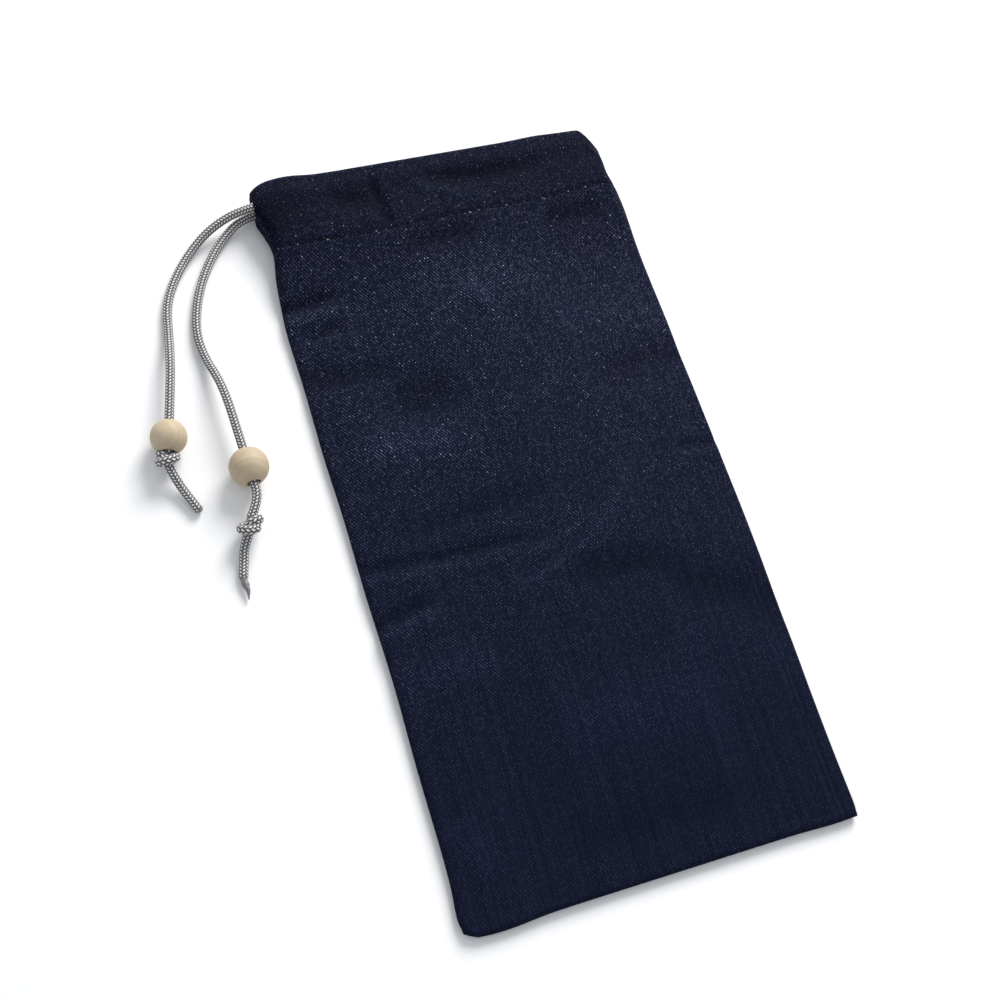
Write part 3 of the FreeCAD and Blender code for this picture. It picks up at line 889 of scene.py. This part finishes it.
def make_pouch(material):
    across, turn, seam = section_columns()
    rows = cloth_rows()
    y, kinds, depths, tucks = (np.array(values) for values in zip(*rows))
    row_y = y[:, None]
    points, nx, nz = surface_grid(across, turn, seam, np.minimum(y, HALF_LENGTH - 0.02))
    # The inner rows lie straight in from the outer ones, by the cloth's thickness.
    inward = np.stack([-nx, np.zeros_like(nx), -nz], -1)
    thickness = np.where(kinds == "outside", 0.0, CLOTH)
    thickness = np.where(kinds == "lip", depths, thickness)
    thickness = np.where(kinds == "facing", hem_thickness(y) + depths, thickness)
    thickness = np.where(kinds == "lining", CLOTH + depths, thickness)
    ends = np.ones(len(across))
    ends[[0, -1]] = 0.0
    ends[[1, -2]] = 0.7
    room = edge_radius(y)[:, None] * 1.9
    limit = np.where(np.abs(nz) > 0.999, 1e9, room)
    inset = np.minimum(thickness[:, None] * ends[None, :], limit)
    points = points + inward * inset[..., None]
    points[..., 1] = row_y
    # The bottom seam: both panels turn in towards each other on the pouch's mid-plane.
    depth = np.where(kinds == "outside", 0.0, CLOTH)
    turned = tucks[:, None] > 0
    radius = (EDGE_IN_BODY - depth)[:, None]
    points[..., 1] -= np.where(turned, radius * np.sin(tucks)[:, None], 0.0)
    points[..., 1] += np.where((tucks > 1.5)[:, None], 0.45, 0.0)
    flatten = np.where(turned, np.maximum(np.cos(tucks)[:, None], 0.03), 1.0)
    points[..., 2] = EDGE_IN_BODY + (points[..., 2] - EDGE_IN_BODY) * flatten
    points[..., 1] += end_shift(points[..., 0], row_y)
    count_rows, count_columns = points.shape[:2]
    # Rows form a loop: the last lining row meets the first outside row inside the seam.
    faces = []
    for r in range(count_rows):
        s = (r + 1) % count_rows
        for c in range(count_columns - 1):
            a, b = r * count_columns + c, s * count_columns + c
            faces.append((a, a + 1, b + 1, b))
    for column, turned_over in ((0, False), (count_columns - 1, True)):
        faces += seam_edge_faces(y, count_columns, column, turned_over)
    piece = new_mesh("pouch_cloth", points.reshape(-1, 3) * MM, faces, material)
    # Cloth co-ordinates for the weave: across along the section, and along the pouch.
    step = np.linalg.norm(np.diff(points[..., [0, 2]], axis=1), axis=2)
    run = np.concatenate([np.zeros((count_rows, 1)), np.cumsum(step, axis=1)], axis=1)
    front_x = points[..., 0] - outline_shift(across[None, :], row_y)
    first, last = [CAP_COLUMNS], [CAP_COLUMNS + FRONT_COLUMNS]
    columns = np.arange(count_columns)[None, :]
    flat_x = np.where(columns > last, front_x[:, last] + run - run[:, last], front_x)
    flat_x = np.where(columns < first, front_x[:, first] - (run[:, first] - run), flat_x)
    outside = (kinds == "outside")[:, None]
    inner = (kinds == "lining") | (kinds == "facing")
    flat_y = np.where(inner, 2 * HALF_LENGTH + 40 - y, y) - EDGE_IN_BODY * tucks
    flat = np.stack([flat_x, flat_y[:, None] + 0 * flat_x, 0 * flat_x], -1)
    point_values(piece, "flat", flat.reshape(-1, 3))
    # Painted shade for the left seam's groove, the bottom seam's tuck and the stitch line's groove.
    shade = seam * 0.9 + (tucks > 1.2)[:, None] * 0.9
    shade = shade + bump(row_y, HEM_LINE, 0.5) * 0.35 * outside
    point_values(piece, "shade", np.clip(shade, 0, 1).ravel())
    # Crease wear and painted shade: ridges lighter as worn denim, valleys darker as painted shade.
    wear_and_shade = crease_heights(front_x, row_y + 0 * front_x)
    # The doubled hem gets painted shade: darker all along, and darkest near the exit where the cord
    # draws it together.
    wear_and_shade = wear_and_shade - 0.95 * bump(row_y, 92, 11)
    wear_and_shade = wear_and_shade - 0.7 * bump(front_x, -46, 8) * bump(row_y, 89, 7)
    wear_and_shade = wear_and_shade * (nz > 0.5) * outside
    point_values(piece, "wear_and_shade", np.clip(wear_and_shade, -1.8, 1).ravel())
    return piece


def sewn_part(piece, slot, *nodes):
    """Cloth or thread that stands for some of the model's parts: hides those parts and bakes the
    piece's placing into its mesh."""
    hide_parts(*nodes)
    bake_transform(piece)
    return piece


def thread_tubes(name, stitches, material, node):
    """Stitches as short lengths of thread. Each is given as a list of points in millimetres."""
    spots, faces = [], []
    around = 8
    for line in stitches:
        line = np.array(line, float)
        tangents = np.gradient(line, axis=0)
        first = len(spots)
        for k, (p, t) in enumerate(zip(line, tangents)):
            t = t / np.linalg.norm(t)
            side = np.cross(t, (0.0, 0.0, 1.0))
            side /= max(np.linalg.norm(side), 1e-6)
            up = np.cross(side, t)
            end = 0.55 if k in (0, len(line) - 1) else 1.0
            for c in range(around):
                a = 2 * math.pi * c / around
                spots.append(p + (side * math.cos(a) + up * math.sin(a)) * THREAD / 2 * end)
        faces += grid_faces(len(line), around, first, close_columns=True)
        faces.append(tuple(first + c for c in range(around))[::-1])
        last = first + (len(line) - 1) * around
        faces.append(tuple(last + c for c in range(around)))
    return sewn_part(new_mesh(name, np.array(spots) * MM, faces, material), "thread", node)


def hem_stitches(name, node, nz, material):
    """The row of stitches through the hem, on the front or on the back."""
    stitches = []
    count = int((2 * HALF_WIDTH - 6) / STITCH_PITCH)
    for k in range(count):
        centre = (k - (count - 1) / 2) * STITCH_PITCH
        t = np.linspace(-1, 1, 7)
        x = centre + t * STITCH_PITCH * 0.44
        y = np.full(7, HEM_LINE) + 0.05 * math.sin(k * 1.7)
        radius = edge_radius(y)
        across = x / (half_width(y) - radius)
        _, z = outer_surface(across, 0 * x, np.full(7, float(nz)), y, 0 * x)
        dive = 0.38 * np.abs(t) ** 4
        x = x + outline_shift(across, y)
        y = y + end_shift(x, y)
        stitches.append(np.stack([x, y, z + nz * (0.08 - dive)], 1))
    return thread_tubes(name, stitches, material, node)


def seam_allowance(name, node, low, high, material):
    """Two cloth layers of seam allowance lying inside the pouch, their cut edges a little frayed."""
    long_axis = int(high[1] - low[1] > high[0] - low[0])
    count_long = int((high[long_axis] - low[long_axis]) / 1.2)
    count_short = 7
    spots, faces = [], []
    for layer in (0, 1):
        for side in (0, 1):
            for a in range(count_long + 1):
                for b in range(count_short + 1):
                    # u runs along the allowance and v across it, to its cut edge.
                    u, v = a / count_long, b / count_short
                    share = (v, u) if long_axis == 1 else (u, v)
                    x, y = (start + (end - start) * s for start, end, s in zip(low, high, share))
                    fray = 0.35 * math.sin(a * 2.9) * math.sin(a * 1.3 + layer) * (b == count_short)
                    x, y = (x + fray, y) if long_axis == 1 else (x, y + fray)
                    x += float(outline_shift(-1.0, y)) * (1 - u if long_axis == 0 else 1)
                    z = 0.72 + 0.50 * layer + 0.42 * side
                    lift = 0.10 * v * math.sin(a / 3.1 + layer)
                    spots.append((x, y, z + abs(lift)))
    rows, columns = count_long + 1, count_short + 1
    size = rows * columns
    for layer in (0, 1):
        under = layer * 2 * size
        over = under + size
        faces += [f[::-1] for f in grid_faces(rows, columns, under)]
        faces += grid_faces(rows, columns, over)
        ring = [r * columns for r in range(rows)]
        ring += [(rows - 1) * columns + c for c in range(1, columns)]
        ring += [r * columns + columns - 1 for r in range(rows - 2, -1, -1)]
        ring += list(range(columns - 2, 0, -1))
        for a, b in zip(ring, ring[1:] + ring[:1]):
            faces.append((under + a, under + b, over + b, over + a))
    spots = np.array(spots)
    piece = new_mesh(name, spots * MM, faces, material)
    point_values(piece, "flat", spots * (1, 1, 0))
    point_values(piece, "shade", np.zeros(len(spots)))
    point_values(piece, "wear_and_shade", np.zeros(len(spots)))
    return sewn_part(piece, "cloth", node)


def overlock_stitches(name, node, low, high, material):
    """Thread whipped over the allowance's cut edge."""
    long_axis = int(high[1] - low[1] > high[0] - low[0])
    reach = high[long_axis] - low[long_axis]
    count = int(reach / STITCH_PITCH)
    stitches = []
    for k in range(count):
        t = np.linspace(-1, 1, 6)
        run = low[long_axis] + STITCH_PITCH * (k + 0.5) + t * STITCH_PITCH * 0.42
        over = (low[1 - long_axis] + high[1 - long_axis]) / 2 + 0 * t
        rise = high[2] - 0.25 * np.abs(t) ** 4
        line = (over + outline_shift(-1.0, run), run) if long_axis == 1 else (run, over)
        stitches.append(np.stack((*line, rise), 1))
    return thread_tubes(name, stitches, material, node)


twill = twill_material()
thread_look = thread_material()

pouch = sewn_part(make_pouch(twill), "cloth", "front_panel", "back_panel", "front_casing", "back_casing")
hem_front = hem_stitches("hem_stitches_front", "casing_stitch_front", 1, thread_look)
hem_back = hem_stitches("hem_stitches_back", "casing_stitch_back", -1, thread_look)
side_allowance = seam_allowance("side_allowance_cloth", "side_seam_allowance",
                                (-48.9, -98.0), (-42.5, 77.0), twill)
bottom_allowance = seam_allowance("bottom_allowance_cloth", "bottom_seam_allowance",
                                  (-42.0, -98.7), (48.3, -92.5), twill)
side_thread = overlock_stitches("side_seam_thread", "side_seam_stitch",
                                (-48.6, -97.0, 0.0), (-48.2, 76.5, 1.75), thread_look)
bottom_thread = overlock_stitches("bottom_seam_thread", "bottom_seam_stitch",
                                  (-41.0, -98.4, 0.0), (47.5, -98.0, 1.75), thread_look)

# ---- Beads, knots and cords

braid_look = cord_material()


def cord_part(piece, *nodes):
    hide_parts(*nodes)
    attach(piece, "drawcord")


def knot_piece(name, centre, along, face, left_handed, node):
    """A tight overhand knot, its ends along the cord, turned about the cord towards face."""
    y = Vector(along).normalized()
    z = (Vector(face) - y * Vector(face).dot(y)).normalized()
    turn = np.array([y.cross(z), y, z])
    shape = overhand_line * (-1 if left_handed else 1, KNOT_SQUEEZE, 1)
    placed = shape * CORD_DIAMETER * MM @ turn + np.array(centre)
    placed[:, 2] = np.maximum(placed[:, 2], CORD_DIAMETER / 2 * MM)
    placed, _ = even_steps(placed, KNOT_STEP * MM)
    for _ in range(12):
        placed[1:-1] = (placed[:-2] + 2 * placed[1:-1] + placed[2:]) / 4
    piece, _ = cord_tube(name, placed, braid_look)
    cord_part(piece, node)
    return piece, tuple(placed[0]), tuple(placed[-1])


overhand_line = overhand_knot()


def bead_piece(name, centre, axis, radius, material, body):
    """A turned bead: a ball cut flat at its bore, whose rims are rounded over."""
    profile = []
    bore, rim = BORE_RADIUS, BORE_RIM
    start = math.asin((bore + rim) / radius)
    for k in range(41):
        a = start + (math.pi - 2 * start) * k / 40
        profile.append((radius * math.sin(a), radius * math.cos(a)))
    top = profile[0][1]
    for k in range(1, 7):
        a = math.pi / 2 * k / 6
        profile.insert(0, (bore + rim * (1 - math.sin(a)), top - rim * (1 - math.cos(a))))
    lower = [(r, -h) for r, h in profile[:6]][::-1]
    profile += lower
    for k in range(1, 8):
        profile.append((bore, lower[-1][1] + 2 * abs(lower[-1][1]) * k / 8))
    around = 96
    angles = [2 * math.pi * c / around for c in range(around)]
    spots = np.array([(r * math.cos(a), r * math.sin(a), h) for r, h in profile for a in angles])
    faces = []
    rows = len(profile)
    for r in range(rows):
        s = (r + 1) % rows
        for c in range(around):
            d = (c + 1) % around
            faces.append((r * around + c, s * around + c, s * around + d, r * around + d))
    # Turned beads aren't perfect: these are faintly oval and egg-shaped.
    wobble = 1 + 0.006 * np.cos(2 * np.arctan2(spots[:, 1], spots[:, 0])) + 0.004 * spots[:, 2] / radius
    shaped = spots.copy()
    outer = np.hypot(spots[:, 0], spots[:, 1]) > bore + 0.05
    shaped[outer, :2] *= wobble[outer, None]
    turn = Vector(axis).normalized().to_track_quat("Z", "Y").to_matrix()
    placed = shaped @ np.array(turn).T * MM + np.array(centre)
    piece = new_mesh(name, placed, faces, material)
    point_values(piece, "grain", spots)
    inside = np.clip((bore + 0.25 - np.hypot(spots[:, 0], spots[:, 1])) / 0.25, 0, 1)
    point_values(piece, "bored", inside)
    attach(piece, body)
    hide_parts(body)
    return piece


bead_a = bead_piece("bead_a_wood", BEAD_A, HEADING_A, BEAD_A_RADIUS,
                    wood_material("bead_wood_a", (0.3, 0.2, 0.5), 0.25), "bead_a")
bead_b = bead_piece("bead_b_wood", BEAD_B, HEADING_B, BEAD_B_RADIUS,
                    wood_material("bead_wood_b", (1.2, 0.5, 0.1), 0.45), "bead_b")

knot_a, into_a, out_a = knot_piece("knot_a_braid", KNOT_A, -HEADING_A, (1.0, 0, 0.1), False,
                                   "knot_a")
knot_b, into_b, out_b = knot_piece("knot_b_braid", KNOT_B, (-0.35, -0.92, -0.1),
                                   (-0.7, 0, -0.7), True, "knot_b")


def blunt_end(share, along):
    """A cut end, squeezed a little and sealed over its last millimetre."""
    left = (1 - share) * along[-1]
    seal = smooth(1 - left / 1.3)
    tip = np.sqrt(np.clip(left / 0.7, 0.02, 1))
    radius = CORD_DIAMETER / 2
    return radius * (1 + 0.06 * seal) * tip, (radius - 0.2 * seal) * tip, seal * 0.75


def pointed_end(share, along):
    """An end melted and drawn out: flat, then narrowing to a point."""
    left = (1 - share) * along[-1]
    seal = smooth((6.6 - left) / 1.8)
    radius = CORD_DIAMETER / 2
    wide = radius - 0.42 * seal + 0.16 * bump(left, 4.2, 0.9)
    point = 0.8 * smooth(left / 4.2) + 0.2 * np.clip(left / 0.5, 0.1, 1)
    high = (radius - 0.55 * seal) * (0.35 + 0.65 * point)
    return wide * point, high * np.clip(left / 0.5, 0.15, 1), seal


stub_a, _ = cord_tube("cord_end_a_braid", [out_a] + STUB_A, braid_look, shape=blunt_end)
stub_b, _ = cord_tube("cord_end_b_braid", [out_b] + STUB_B, braid_look, shape=pointed_end)
cord_part(stub_a, "cord_end_a")
cord_part(stub_b, "cord_end_b")

tail_a, path_a = cord_tube("cord_tail_a_braid", ROUTE_A + [into_a], braid_look)
tail_b, path_b = cord_tube("cord_tail_b_braid", ROUTE_B + [into_b], braid_look)
for tail, node, path, pieces in ((tail_a, "cord_tail_a", path_a, [bead_a, knot_a, stub_a]),
                                 (tail_b, "cord_tail_b", path_b, [bead_b, knot_b, stub_b])):
    cord_part(tail, node)

loop, loop_path = cord_tube("drawcord_loop", LOOP, braid_look, ring_step=LOOP_RING_STEP)
cord_part(loop, "drawcord_front_run", "drawcord_bend", "drawcord_back_run")
